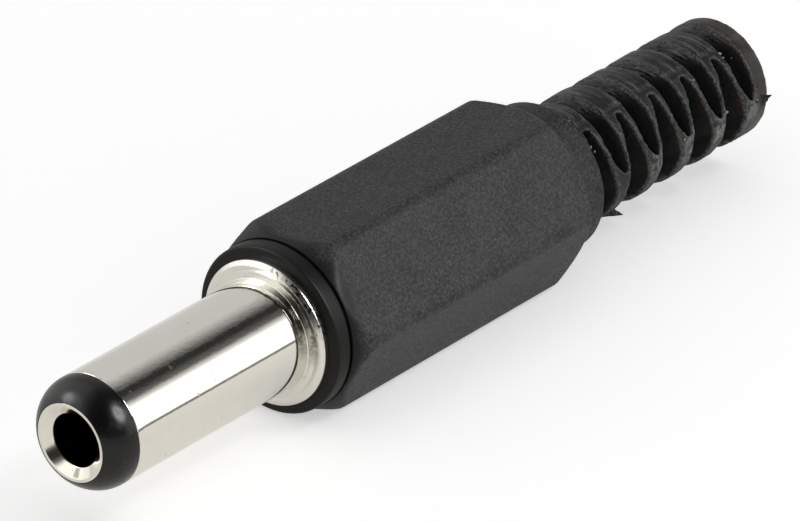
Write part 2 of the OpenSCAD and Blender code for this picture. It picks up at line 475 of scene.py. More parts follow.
@dataclass(frozen=True)
class Moulding:
    """Moulded plastic: grained by spark erosion, smooth in front of a place along the axis.

    The smooth part, and less so what lies behind the quiet place, loses some of its sheen.
    """

    name: str
    colour: Colour = (0.004, 0.004, 0.0045)
    pale: Colour = (0.056, 0.056, 0.059)
    smooth: Colour = (0.004, 0.004, 0.0036)
    smooth_to: float = -100.0
    smooth_blend: float = 0.5
    roughness: float = 0.56
    grain: float = 0.055
    grain_scale: float = 7.5
    speck_shade: float = 4.0
    level: float = 0.32
    quiet: float = 0.32
    quiet_from: Spot = (18.75, 19.05)
    quiet_rear: float = 0.7

    def material(self) -> bpy.types.Material:
        """Builds the material."""
        s = Surface(self.name)
        grain = s.noise(self.grain_scale, 4.0, roughness=0.65)
        fine = s.noise(self.grain_scale * 2.6, 3.0)
        cloud = s.noise(0.55, 3.0)
        specks = s.noise(self.grain_scale * 1.4, 1.0)
        pale = cloud.step(0.3, 0.75) * 0.25 + grain.step(0.42, 0.62) * 0.75
        colour = s.mix(pale, self.colour, self.pale)
        colour = s.mix(specks.step(0.735, 0.765) * 0.8, colour,
                       scaled(self.pale, self.speck_shade))
        grained = (s.x + (cloud - 0.5) * 1.2).step(self.smooth_to - self.smooth_blend,
                                                   self.smooth_to + self.smooth_blend)
        colour = s.mix(grained, self.smooth, colour)
        quiet = (1.0 - grained) * self.quiet \
            + s.x.step(*self.quiet_from) * (self.quiet * self.quiet_rear)
        coat = Coat(
            colour,
            self.roughness + (cloud - 0.5) * 0.12 + (fine - 0.5) * 0.25 - (1.0 - grained) * 0.12,
            (grain * 0.75 + fine * 0.25) * (grained * 0.9 + 0.1),
            (quiet, colour))
        self.mark(s, coat, grain, cloud)
        return s.finish(coat, self.grain, Specular_IOR_Level=self.level)

    def mark(self, s: Surface, coat: Coat, grain: Val, cloud: Val) -> None:
        """Adds a piece's own marks to the coat."""


@dataclass(frozen=True)
class SlottedMoulding(Moulding):
    """Plastic of the strain relief: layered over the closed sides, with painted shade in the layers'
    hollows, a painted highlight on their crests and the slots' rims, and dirty ends.

    The slots' insides and the bore get painted shade: they are dull and sheenless, and brown between
    two radii.
    """

    # Painted highlight: the pale colour on the slots' rims and on the layers' crests.
    painted_highlight: Colour = (0.095, 0.095, 0.098)
    # Painted shade: the dark colour in the layers' hollows.
    painted_hollow_shade: Colour = (0.002, 0.002, 0.002)
    over_side: Tuple[float, float] = (0.17, 0.985)
    over_from: Spot = (2.25, 2.55)
    worn_end: Colour = (0.085, 0.070, 0.056)
    worn_from: Spot = (32.8, 33.4)
    smudge: Colour = (0.15, 0.165, 0.145)
    crumb: Colour = (0.42, 0.44, 0.41)
    smudge_turn: Span = Span(78, 90, 106, 122)
    smudge_first: float = 22.85
    smudge_pitch: float = 2.44
    smudge_half: Spot = (0.25, 0.62)
    smudge_from: Spot = (23.9, 24.3)
    # Painted shade: where the slots' insides turn dull and sheenless, and their colour.
    inside_from: Spot = (2.82, 2.98)
    inside: Colour = (0.016, 0.0185, 0.0185)
    brown: Colour = (0.028, 0.020, 0.014)
    brown_from: Spot = (2.45, 2.75)

    def mark(self, s: Surface, coat: Coat, grain: Val, cloud: Val) -> None:
        """Adds the layers with their painted shade and highlight, the painted highlight on the slots'
        rims, the smudges and the painted shade of the slots' insides.

        Args:
            s: the material's tree.
            coat: the plastic's coat, which is changed.
            grain: the plastic's grain.
            cloud: its slow changes.
        """
        across, up = self.over_side
        over = (s.y * across + s.z * up).size().step(*self.over_from)
        layers = s.noise(1.0, 3.0, (4.2, 0.45, 0.45), 0.6)
        edge = s.value("ShaderNodeAttribute", {"attribute_name": EDGE}, output="Fac")
        # Painted highlight along the slots' rims, mottled by the grain.
        painted_highlight = edge * (0.15 + grain.step(0.38, 0.62) * 0.85)
        # Painted shade in the layers' hollows and painted highlight on their crests.
        colour = s.mix(over * layers.step(0.56, 0.44) * 0.9, coat.colour, self.painted_hollow_shade)
        colour = s.mix(over * layers.step(0.55, 0.66) * 0.8, colour, self.painted_highlight)
        colour = s.mix(painted_highlight * 0.85, colour, self.painted_highlight)
        worn = s.x.step(*self.worn_from) * (0.25 + cloud.step(0.4, 0.6) * 0.45)
        colour = s.mix(worn, colour, self.worn_end)
        bays = (s.x - self.smudge_first) / self.smudge_pitch
        away = (bays - s.math("ROUND", bays)).size() * self.smudge_pitch + (cloud - 0.5) * 0.5
        inner, outer = self.smudge_half
        smudge = away.step(outer, inner) * self.smudge_turn.of(s.turn) \
            * s.x.step(*self.smudge_from)
        crumbs = s.noise(2.6, 4.0, roughness=0.7)
        colour = s.mix(smudge * crumbs.step(0.40, 0.56) * 0.8, colour, self.smudge)
        coat.colour = s.mix(smudge * crumbs.step(0.63, 0.69) * 0.7, colour, self.crumb)
        coat.height = coat.height + over * layers * 9.0 + smudge * crumbs * 7.0
        # Painted shade: the slots' insides and the bore turn dull and sheenless, brown between two
        # radii.
        inner, outer = self.inside_from
        inside = (s.radius + (cloud - 0.5) * 0.2 + over * 0.42).step(outer, inner)
        brown = s.radius.step(*self.brown_from) * s.noise(1.3, 3.0).step(0.38, 0.62)
        coat.dull = (inside, s.mix(brown, self.inside, self.brown))


@dataclass(frozen=True)
class Gloss:
    """Polished black insulating plastic with faint turning rings, handling haze and dust."""

    name: str
    colour: Colour = (0.004, 0.004, 0.004)
    dust_shade: float = 2.5
    haze: Colour = (0.030, 0.028, 0.026)
    roughness: float = 0.22
    level: float = 0.34
    relief: float = 0.014

    def material(self) -> bpy.types.Material:
        """Builds the material."""
        s = Surface(self.name)
        ripple = s.noise(0.9, 2.0)
        fine = s.noise(8.0, 3.0)
        haze = s.noise(1.1, 4.0, roughness=0.6)
        rings = s.noise(7.0, 2.0, (1, 0.15, 0.15))
        colour = s.mix(fine.step(0.5, 0.8) * 0.5, self.colour, scaled(self.colour, self.dust_shade))
        coat = Coat(s.mix(haze.step(0.55, 0.75) * 0.5, colour, self.haze),
                    self.roughness + (fine - 0.5) * 0.10 + haze.step(0.45, 0.75) * 0.14,
                    ripple * 0.7 + fine * 0.08 + rings * 0.06)
        return s.finish(coat, self.relief, Specular_IOR_Level=self.level)


@dataclass(frozen=True)
class Fibre:
    """Pressed fibre board for the washer."""

    name: str
    colour: Colour = (0.20, 0.085, 0.035)
    pale_shade: float = 1.9
    roughness: float = 0.7
    relief: float = 0.02

    def material(self) -> bpy.types.Material:
        """Builds the material."""
        s = Surface(self.name)
        layers = s.noise(10.0, 3.0, (3.0, 0.5, 0.5))
        fleck = s.noise(5.0, 4.0)
        coat = Coat(
            s.mix(layers.step(0.35, 0.7), self.colour, scaled(self.colour, self.pale_shade)),
            self.roughness + (fleck - 0.5) * 0.2, layers * 0.5 + fleck * 0.5)
        return s.finish(coat, self.relief)


@dataclass(frozen=True)
class Tinned:
    """Tinned sheet brass with rolling marks and a duller, uneven coat."""

    name: str
    tint: Colour = (0.70, 0.69, 0.66)
    dull: Colour = (0.60, 0.56, 0.47)
    roughness: float = 0.26
    relief: float = 0.004

    def material(self) -> bpy.types.Material:
        """Builds the material."""
        s = Surface(self.name)
        rolling = s.noise(9.0, 3.0, (0.25, 2.0, 2.0))
        patches = s.noise(1.6, 4.0)
        coat = Coat(
            s.mix(patches.step(0.4, 0.75) * 0.6, self.tint, self.dull),
            self.roughness + patches * 0.14 + (rolling - 0.5).size() * 0.2,
            rolling * 0.5 + patches * 0.5)
        return s.finish(coat, self.relief, Metallic=1.0)


Finish = Union[Plating, Moulding, Gloss, Fibre, Tinned]

NICKEL = ScuffedPlating("bright_nickel")
CONTACT = MouthPlating("contact_nickel_plate", tint=(0.80, 0.77, 0.70), roughness=0.09)
COVER_PLASTIC = Moulding("grained_black_moulding", smooth_to=2.0)
RELIEF_PLASTIC = SlottedMoulding(
    "slotted_black_moulding", colour=(0.002, 0.002, 0.002), pale=(0.016, 0.016, 0.0165),
    grain=0.024, roughness=0.48, level=0.26)
RELIEF_FLASH = Moulding("pale_moulding_flash", colour=(0.10, 0.10, 0.10),
                        pale=(0.42, 0.42, 0.43), grain=0.02)
NOSE_PLASTIC = Gloss("polished_black_insulator")
WASHER_FIBRE = Fibre("washer_fibre")
LUG_METAL = Tinned("tinned_sheet_brass")


# ---------------------------------------------------------------- meshes


def add_mesh(name: str, points: np.ndarray, faces: Sequence[Sequence[int]],
             material: bpy.types.Material, crease: Optional[float] = None) -> bpy.types.Object:
    """Makes a shaded mesh object at the origin.

    Args:
        name: the object's name.
        points: the vertices in millimetres.
        faces: the vertex numbers of each face, seen from outside.
        material: its finish.
        crease: the angle in degrees past which an edge stays sharp; None keeps all smooth.

    Returns:
        The object.
    """
    mesh = bpy.data.meshes.new(name)
    mesh.from_pydata((np.asarray(points) * MM).tolist(), [], faces)
    mesh.validate()
    mesh.shade_smooth()
    if crease is not None:
        mesh.set_sharp_from_angle(angle=math.radians(crease))
    mesh.materials.append(material)
    piece = bpy.data.objects.new(name, mesh)
    bpy.context.scene.collection.objects.link(piece)
    return piece


def add_sheet(name: str, x: Spot, y: Spot, z: float,
              material: bpy.types.Material) -> bpy.types.Object:
    """Makes one flat rectangle that faces up.

    Args:
        name: the object's name.
        x: where it starts and ends along X, in millimetres.
        y: where it starts and ends along Y.
        z: its level.
        material: its finish.

    Returns:
        The object.
    """
    points = [(x[0], y[0], z), (x[1], y[0], z), (x[1], y[1], z), (x[0], y[1], z)]
    return add_mesh(name, np.array(points), [[0, 1, 2, 3]], material)


def bend(corner: Spot, radius: float, before: Spot, after: Spot, steps: int = 5) -> List[Spot]:
    """Rounds one corner of an outline.

    Args:
        corner: the corner, as (place along the axis, radius).
        radius: how far from the corner the rounding starts.
        before: the outline's point before it.
        after: the outline's point after it.
        steps: pieces of the rounding.

    Returns:
        The points that stand for the corner.
    """
    c, b, a = (np.array(p, float) for p in (corner, before, after))
    start = c + (b - c) / np.linalg.norm(b - c) * radius
    end = c + (a - c) / np.linalg.norm(a - c) * radius
    return [tuple((1 - t) ** 2 * start + 2 * t * (1 - t) * c + t ** 2 * end)
            for t in (i / steps for i in range(steps + 1))]


def outline(corners: Sequence[Corner]) -> List[Spot]:
    """A closed outline whose corners are rounded.

    Args:
        corners: (place along the axis, radius, rounding) in order.

    Returns:
        Points of (place along the axis, radius).
    """
    out: List[Spot] = []
    for i, (x, r, rounding) in enumerate(corners):
        if rounding > 0:
            out += bend((x, r), rounding, corners[i - 1][:2], corners[(i + 1) % len(corners)][:2])
        else:
            out.append((x, r))
    return out


def even_angles(around: int) -> np.ndarray:
    """Evenly spaced angles round the axis."""
    return np.arange(around) / around * TURN


def turned(name: str, corners: Sequence[Corner], angles: np.ndarray,
           material: bpy.types.Material, crease: float,
           shape: Optional[Shape] = None) -> bpy.types.Object:
    """Turns a closed outline about the X axis.

    Args:
        name: the object's name.
        corners: (place along the axis, radius, rounding), with the outside run towards +X.
        angles: where the points round the axis lie.
        material: its finish.
        crease: the angle in degrees past which an edge stays sharp.
        shape: changes the radius from (place, radius, angle).

    Returns:
        The object.
    """
    points = np.array(outline(corners))
    x, r, a = np.broadcast_arrays(points[:, :1], points[:, 1:], angles[None, :])
    if shape is not None:
        r = shape(x, r, a)
    grid = np.stack([x, r * np.sin(a), r * np.cos(a)], -1).reshape(-1, 3)
    rows, around = len(points), len(angles)
    faces = []
    for i in range(rows):
        here, following = i * around, (i + 1) % rows * around
        for j in range(around):
            k = (j + 1) % around
            faces.append([here + j, following + j, following + k, here + k])
    return add_mesh(name, grid, faces, material, crease)


def weld(piece: bpy.types.Object) -> None:
    """Merges a piece's coincident vertices and drops what is left without a face.

    Args:
        piece: a turned mesh whose outline touches the axis.
    """
    mesh = bmesh.new()
    mesh.from_mesh(piece.data)
    bmesh.ops.remove_doubles(mesh, verts=mesh.verts, dist=1e-8)
    bmesh.ops.delete(mesh, geom=[e for e in mesh.edges if not e.link_faces], context="EDGES")
    mesh.to_mesh(piece.data)
    mesh.free()


def applied(piece: bpy.types.Object) -> bpy.types.Object:
    """Turns a piece with live modifiers into a plain mesh and removes them.

    Args:
        piece: the object with its modifiers.

    Returns:
        The same object.
    """
    graph = bpy.context.evaluated_depsgraph_get()
    mesh = bpy.data.meshes.new_from_object(piece.evaluated_get(graph), depsgraph=graph)
    piece.modifiers.clear()
    piece.data = mesh
    mesh.name = piece.name
    return piece


def keep(piece: bpy.types.Object, body: Body, slot: Slot, nodes: Sequence[str] = ()) -> None:
    """Attaches a finished piece to its body, hides the solids that it stands for and logs its
    triangles.

    Args:
        piece: the finished mesh.
        body: what it rides on.
        slot: not used.
        nodes: the solids that it stands for.
    """
    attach(piece, body.value)
    if nodes:
        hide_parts(*nodes)
    triangles = sum(len(p.vertices) - 2 for p in piece.data.polygons)
    LOG.info("%s: %d triangles on %s", piece.name, triangles, body.value)


def reach(node: str) -> Spot:
    """Where a solid starts and ends along the axis, in millimetres."""
    low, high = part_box(node)
    return low.x / MM, high.x / MM


# ---------------------------------------------------------------- rules in geometry nodes


class Rule(Graph):
    """A Geometry Nodes tree with named inputs."""

    def __init__(self, name: str, inputs: Dict[str, float], unit: float = MM) -> None:
        """Starts a tree.

        Args:
            name: the tree's name.
            inputs: names and values of its number inputs.
            unit: a millimetre in the tree's own units.
        """
        super().__init__(bpy.data.node_groups.new(name, "GeometryNodeTree"))
        face = self.tree.interface
        face.new_socket("Geometry", in_out="INPUT", socket_type="NodeSocketGeometry")
        self.sockets = {n: face.new_socket(n, in_out="INPUT", socket_type="NodeSocketFloat")
                        for n in inputs}
        face.new_socket("Geometry", in_out="OUTPUT", socket_type="NodeSocketGeometry")
        self.values = inputs
        self.source = self.node("NodeGroupInput")
        self.place = self.vector(
            "SCALE", {0: self.link("GeometryNodeInputPosition"), "Scale": 1 / unit})
        self.x, self.y, self.z = self.parts(self.place)
        self.radius = (self.y * self.y + self.z * self.z).root()

    def input(self, name: str) -> Val:
        """One named input."""
        return Val(self, self.source.outputs[name])

    def noise(self, scale: float, detail: float = 1.0, output: str = "Fac") -> Val:
        """Noise per millimetre, round 0.5."""
        return self.value("ShaderNodeTexNoise", None,
                          {"Vector": self.place, "Scale": scale, "Detail": detail}, output)

    def moved(self, geometry: bpy.types.NodeSocket, way: Any, length: Number
              ) -> bpy.types.NodeSocket:
        """Moves every point.

        Args:
            geometry: what is moved.
            way: the direction, as a link.
            length: how far, in metres for a direction of length 1.

        Returns:
            The moved geometry.
        """
        offset = self.vector("SCALE", {0: way, "Scale": length})
        return self.link("GeometryNodeSetPosition", None, {"Geometry": geometry, "Offset": offset})

    def finish(self, geometry: bpy.types.NodeSocket, material: bpy.types.Material) -> None:
        """Ends the tree in plain geometry with a material."""
        plain = self.link("GeometryNodeRealizeInstances", None, {0: geometry})
        dressed = self.link("GeometryNodeSetMaterial", None,
                            {"Geometry": plain, "Material": material})
        self.node("NodeGroupOutput", None, {0: dressed})

    def put_on(self, piece: bpy.types.Object, share: float = 1.0) -> bpy.types.Object:
        """Runs the rule on a piece and makes the result its mesh.

        Args:
            piece: the object that carries the rule.
            share: the share of triangles that is kept.

        Returns:
            The piece as a plain mesh.
        """
        modifier = piece.modifiers.new("rule", "NODES")
        modifier.node_group = self.tree
        for name, socket in self.sockets.items():
            modifier[socket.identifier] = self.values[name]
        if share < 1.0:
            piece.modifiers.new("thinner", "DECIMATE").ratio = share
        return applied(piece)


@dataclass
class Thread:
    """A screw thread cut into a turned surface by a helical rule."""

    start: float
    end: float
    radius: float
    depth: float
    inward: bool = True
    pitch: float = 0.75
    flank: float = 1.25
    rounding: Spot = (0.12, 0.88)
    run_out: float = 0.35
    nearness: float = 50.0

    def cut(self, piece: bpy.types.Object, material: bpy.types.Material) -> bpy.types.Object:
        """Cuts the thread into the vertices that lie on its radius.

        Args:
            piece: a turned mesh with close rows where the thread goes.
            material: its finish.

        Returns:
            The piece as a plain mesh.
        """
        rule = Rule(piece.name + "_thread",
                    {"Pitch": self.pitch, "Depth": self.depth, "Start": self.start,
                     "End": self.end, "Radius": self.radius})
        turn = rule.math("ARCTAN2", rule.y, rule.z) / TURN
        phase = rule.math("FRACT", rule.x / rule.input("Pitch") - turn + 8.0)
        groove = (1.0 - (phase - 0.5).size() * 2.0 * self.flank).within(0.0, 1.0)
        groove = groove.step(*self.rounding)
        off = (rule.radius - rule.input("Radius")).size()
        at_radius = 1.0 - (off * self.nearness).low(1.0)
        run_in = ((rule.x - rule.input("Start")) / self.run_out).within(0.0, 1.0)
        run_out = ((rule.input("End") - rule.x) / self.run_out).within(0.0, 1.0)
        unit = -MM if self.inward else MM
        shift = groove * run_in * run_out * rule.input("Depth") * at_radius * unit
        outwards = rule.link("ShaderNodeCombineXYZ", None,
                             {0: 0.0, 1: rule.y / rule.radius, 2: rule.z / rule.radius})
        rule.finish(rule.moved(rule.source.outputs[0], outwards, shift), material)
        return rule.put_on(piece)


# ---------------------------------------------------------------- the core's pieces


@dataclass
class Sleeve:
    """Barrel tube, flange, threaded stub and swaged neck: one turned and plated piece."""

    barrel_r: float = 2.75
    bore_r: float = 2.25
    flange_r: float = 3.575
    flange_t: float = 0.5
    bevel: float = 0.2
    ring_r: float = 3.13
    ring_half: float = 0.03
    ring_depth: float = 0.014
    thread_r: float = 3.0
    thread_end: float = 6.0
    thread_depth: float = 0.28
    row_gap: float = 0.04
    neck_r: float = 2.5
    edge: float = 0.035
    crease: float = 35
    around: int = 192

    def build(self) -> None:
        """Builds the sleeve and dresses it."""
        front, rear = reach("outer_sleeve")
        metal = NICKEL.material()
        close_rows = np.arange(self.flange_t + 0.1, self.thread_end - 0.35, self.row_gap)
        corners = [(front, self.bore_r, 0.02), (front, self.barrel_r, self.edge)]
        corners += [(x, self.barrel_r, 0.0) for x in np.linspace(front + 0.5, -0.5, 12)]
        corners += [
            (0.0, self.barrel_r, 0.05), (0.0, self.ring_r - self.ring_half, 0.0),
            (self.ring_depth, self.ring_r, 0.005), (0.0, self.ring_r + self.ring_half, 0.0),
            (0.0, self.flange_r - self.bevel, 0.03), (self.bevel, self.flange_r, 0.06),
            (self.flange_t, self.flange_r, 0.04), (self.flange_t, self.thread_r, 0.03)]
        corners += [(x, self.thread_r, 0.0) for x in close_rows]
        corners += [
            (self.thread_end - 0.3, self.thread_r, 0.0),
            (self.thread_end, self.thread_r - 0.3, 0.03), (self.thread_end, self.neck_r, 0.03),
            (rear, self.neck_r, 0.05), (rear, self.bore_r, 0.05)]
        piece = turned("nickel_sleeve", corners, even_angles(self.around), metal, self.crease)
        thread = Thread(self.flange_t + 0.2, self.thread_end - 0.2, self.thread_r,
                        self.thread_depth)
        keep(thread.cut(piece, metal), Body.CORE, Slot.NICKEL, ["outer_sleeve"])


@dataclass
class Nose:
    """Insulating nose, one arc that meets the barrel, and the liner behind it."""

    outer_r: float = 2.75
    bore_r: float = 2.25
    contact_r: float = 1.69
    lip_r: float = 1.92
    nose_l: float = 1.6
    straight: float = 0.1
    land: float = 0.03
    swell_l: float = 0.8
    arc_points: int = 17
    crease: float = 35
    around: int = 160

    def build(self) -> None:
        """Builds the insulator and dresses it."""
        tip, rear = reach("nose_insulator")
        barrel = tip + self.nose_l
        drop, taper = self.outer_r - self.lip_r - self.land, self.nose_l - self.straight
        arc_r = (drop ** 2 + taper ** 2) / drop / 2
        corners: List[Corner] = [(tip, self.lip_r, 0.0)]
        corners += [(tip + taper - arc_r * math.sin(t),
                     self.outer_r - arc_r * (1 - math.cos(t)), 0.0)
                    for t in np.linspace(math.asin(taper / arc_r), 0, self.arc_points)]
        corners += [(barrel, self.outer_r, 0.03), (barrel, self.bore_r, 0.0),
                    (rear, self.bore_r, 0.02), (rear, self.contact_r, 0.02),
                    (tip + self.swell_l, self.contact_r, 0.0)]
        piece = turned("insulating_nose", corners, even_angles(self.around),
                       NOSE_PLASTIC.material(), self.crease)
        keep(piece, Body.CORE, Slot.NOSE, ["nose_insulator"])


@dataclass
class Contact:
    """Tubular contact with a flared mouth and a riveted tail."""

    hole_r: float = 1.29
    hole_l: float = 12.2
    outer_r: float = 1.69
    lip_r: float = 1.92
    mouth_r: float = 1.78
    mouth_l: float = 0.32
    swell_l: float = 0.8
    tail_r: float = 0.8
    rivet_r: float = 1.15
    rivet_h: float = 0.4
    rivet_from: float = 0.15
    crease: float = 35
    around: int = 128

    def build(self) -> None:
        """Builds the contact and dresses it."""
        tip, end = reach("centre_contact")
        neck = reach("nose_insulator")[1]
        seat = end - self.rivet_h
        corners: List[Corner] = [
            (tip, self.lip_r, 0.025), (tip + self.swell_l, self.outer_r, 0.1),
            (neck, self.outer_r, 0.03), (neck, self.tail_r, 0.0), (seat, self.tail_r, 0.0),
            (seat, self.rivet_r, 0.04)]
        corners += [(seat + self.rivet_h * math.sin(t),
                     self.rivet_r - self.rivet_h * (1 - math.cos(t)), 0.0)
                    for t in np.linspace(self.rivet_from, math.pi / 2, 8)]
        corners += [(end, 0.0, 0.0), (tip + self.hole_l, 0.0, 0.0),
                    (tip + self.hole_l, self.hole_r, 0.1),
                    (tip + self.mouth_l, self.hole_r, 0.05), (tip, self.mouth_r, 0.04)]
        piece = turned("flared_contact", corners, even_angles(self.around), CONTACT.material(),
                       self.crease)
        weld(piece)
        keep(piece, Body.CORE, Slot.CONTACT, ["centre_contact"])


@dataclass
class Lugs:
    """Both solder lugs and the washer between them, which keep their solids."""

    finishes: Tuple[Tuple[str, Finish], ...] = (
        ("centre_lug", LUG_METAL), ("sleeve_lug", LUG_METAL), ("insulating_washer", WASHER_FIBRE))

    def build(self) -> None:
        """Dresses the solids."""
        for node, finish in self.finishes:
            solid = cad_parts[node]
            solid.data.materials.clear()
            solid.data.materials.append(finish.material())
            LOG.info("%s: dressed solid", node)


# ---------------------------------------------------------------- the cover's pieces


@dataclass
class HexCover:
    """Hexagonal body with its round collar, groove, chamfers and rear shoulder."""

    flats: float = 8.46
    corner_r: float = 0.8
    corner_limit: float = 4.885
    corner_spread: float = 6.0
    collar_r: float = 4.13
    collar_l: float = 0.85
    groove_r: float = 4.0
    groove_w: float = 0.15
    front_chamfer: float = 1.2
    rear_chamfer: float = 0.9
    hex_l: float = 17.4
    shoulder_r: float = 3.73
    shoulder_l: float = 1.6
    bore_r: float = 3.05
    chamber_end: float = 17.2
    funnel_l: float = 2.3
    cable_r: float = 1.8
    sink: float = 0.03
    sink_share: float = 0.8
    sink_from: float = 1.5
    sink_over: float = 3.0
    blend: float = 0.10
    thread_end: float = 6.6
    thread_depth: float = 0.22
    row_gap: float = 0.05
    crease: float = 40

    @property
    def hex_from(self) -> float:
        """Where the hexagon starts along the axis."""
        return reach("cover")[0] + self.collar_l + self.groove_w

    def angles(self) -> np.ndarray:
        """Angles round the axis, closer together at the corners."""
        half, soft = TURN / 12, math.radians(self.corner_spread)
        flat = np.linspace(-half + soft, half - soft, 17)
        corner = np.linspace(half - soft, half + soft, 11)[1:-1]
        side = np.concatenate([flat, corner])
        return np.concatenate([k * TURN / 6 + side for k in range(6)])

    def hexagon(self, off: np.ndarray) -> np.ndarray:
        """The hexagon's radius with rounded corners.

        Args:
            off: angle from the middle of a flat.

        Returns:
            The distance from the axis.
        """
        half = TURN / 12
        centre = (self.flats / 2 - self.corner_r) / math.cos(half)
        beta = half - np.abs(off)
        arc = centre * np.cos(beta) + np.sqrt(
            np.maximum(self.corner_r ** 2 - (centre * np.sin(beta)) ** 2, 0))
        tangent = math.atan2(self.corner_r * math.sin(half),
                             centre + self.corner_r * math.cos(half))
        return np.where(beta < tangent, arc, self.flats / 2 / np.cos(off))

    def radius(self, x: np.ndarray, r: np.ndarray, a: np.ndarray) -> np.ndarray:
        """Cuts the turned limit down to the hexagon, whose flats are slightly sunk.

        Args:
            x: place along the axis.
            r: the turned outline's radius.
            a: angle round the axis.

        Returns:
            The body's radius.
        """
        half = TURN / 12
        off = (a + half) % (2 * half) - half
        x0 = self.hex_from
        x1 = x0 + self.hex_l
        window = np.clip((x - x0 - self.sink_from) / self.sink_over, 0, 1) \
            * np.clip((x1 - self.sink_from - x) / self.sink_over, 0, 1)
        bowl = np.clip(1 - (off / (self.sink_share * half)) ** 2, 0, 1) ** 2
        hexagon = self.hexagon(off) - self.sink * bowl * window
        gap = np.clip(1 - np.abs(hexagon - r) / self.blend, 0, 1)
        soft = np.minimum(hexagon, r) - gap ** 2 * self.blend / 4
        inside = (x > x0 - 1e-4) & (x < x1 + 1e-4) & (r > self.groove_r + 0.02)
        return np.where(inside, soft, r)

    def slope(self, start: Spot, end: Spot, places: np.ndarray) -> List[Corner]:
        """Points along one straight run of the outline.

        Args:
            start: (place along the axis, radius) that the run passes first.
            end: the same that it passes last.
            places: where along the axis the points lie.

        Returns:
            The run's points, unrounded.
        """
        rise = (end[1] - start[1]) / (end[0] - start[0])
        return [(x, start[1] + rise * (x - start[0]), 0.0) for x in places]

    def build(self) -> None:
        """Builds the body and dresses it."""
        front, x0 = reach("cover")[0], self.hex_from
        x1 = x0 + self.hex_l
        x2 = x1 + self.shoulder_l
        top, foot = self.corner_limit, self.flats / 2 - 0.06
        chamfer_end, chamfer_start = x0 + self.front_chamfer, x1 - self.rear_chamfer
        corners = [(front + 0.2, self.bore_r, 0.03), (front, self.bore_r + 0.2, 0.04),
                   (front, self.collar_r, 0.2), (x0 - self.groove_w, self.collar_r, 0.05),
                   (x0 - self.groove_w + 0.03, self.groove_r, 0.0), (x0, self.groove_r, 0.0),
                   (x0, foot, 0.02)]
        corners += self.slope((x0, foot), (chamfer_end, top),
                              np.linspace(x0 + 0.1, chamfer_end, 12))
        corners += [(x, top, 0.0) for x in np.linspace(chamfer_end + 0.2, chamfer_start - 0.2, 30)]
        corners += self.slope((chamfer_start, top), (x1, self.shoulder_r + 0.2),
                              np.linspace(chamfer_start, x1 - 0.05, 12))
        corners += [(x1, self.shoulder_r + 0.15, 0.02), (x1 + 0.05, self.shoulder_r - 0.06, 0.03),
                    (x1 + 0.25, self.shoulder_r, 0.1), (x2, self.shoulder_r, 0.3),
                    (x2, self.cable_r, 0.0),
                    (self.chamber_end + self.funnel_l, self.cable_r, 0.05),
                    (self.chamber_end, self.bore_r, 0.05)]
        corners += [(x, self.bore_r, 0.0)
                    for x in np.arange(self.thread_end + 0.2, front + 0.35, -self.row_gap)]
        plastic = COVER_PLASTIC.material()
        piece = turned("hexagonal_cover", corners, self.angles(), plastic, self.crease,
                       self.radius)
        thread = Thread(front + 0.3, self.thread_end, self.bore_r, self.thread_depth,
                        inward=False)
        keep(thread.cut(piece, plastic), Body.COVER, Slot.COVER, ["cover"])


@dataclass
class SlotRow:
    """One side's row of slots; its side runs from the axis towards where they open."""

    middle: float
    way: float
    past: float

    def walls(self, side: Val, radius: Val) -> Tuple[Val, Val]:
        """Where a slot's front and rear walls lie.

        Args:
            side: how far a place lies towards the open side.
            radius: its distance from the axis.

        Returns:
            Both walls' places along the axis, from the slot's middle.
        """
        raise NotImplementedError


@dataclass
class LeaningSlots(SlotRow):
    """Slots whose front wall leans over and whose rear wall flares towards the opening."""

    front: float = -0.22
    lean: float = -0.44
    lean_over: Spot = (-1.3, 0.7)
    rear: float = 0.17
    rear_lean: float = 0.13
    rear_reach: float = 3.2
    flare: float = 0.10
    flare_reach: float = 2.0

    def walls(self, side: Val, radius: Val) -> Tuple[Val, Val]:
        """Where a slot's front and rear walls lie; see SlotRow."""
        front = self.front + side.step(*self.lean_over) * self.lean
        below = side.within(0.0, self.flare_reach)
        rear = self.rear + (side + self.past).within(0.0, self.rear_reach) * self.rear_lean \
            + below * below * self.flare
        return front, rear


@dataclass
class SteppedSlots(SlotRow):
    """Slots that close to a point past the axis and whose rear wall climbs in steps."""

    front: float = -0.65
    closing: float = 1.0
    close_from: float = 0.4
    close_over: float = 2.05
    rear: float = 0.39
    stairs_from: Spot = (1.1, 1.8)
    stairs: Tuple[Spot, ...] = ((2.45, 2.50), (2.62, 2.67), (2.77, 2.82), (2.91, 2.95))
    stair: float = 0.16

    def walls(self, side: Val, radius: Val) -> Tuple[Val, Val]:
        """Where a slot's front and rear walls lie; see SlotRow."""
        down = ((self.close_from - side) / self.close_over).within(0.0, 1.0)
        front = self.front + down * down * down * self.closing
        climbs = [radius.step(*stair) for stair in self.stairs]
        climb = climbs[0] + climbs[1] + climbs[2] + climbs[3]
        foot = self.stair * len(climbs)
        return front, self.rear - (foot - climb * self.stair) * side.step(*self.stairs_from)


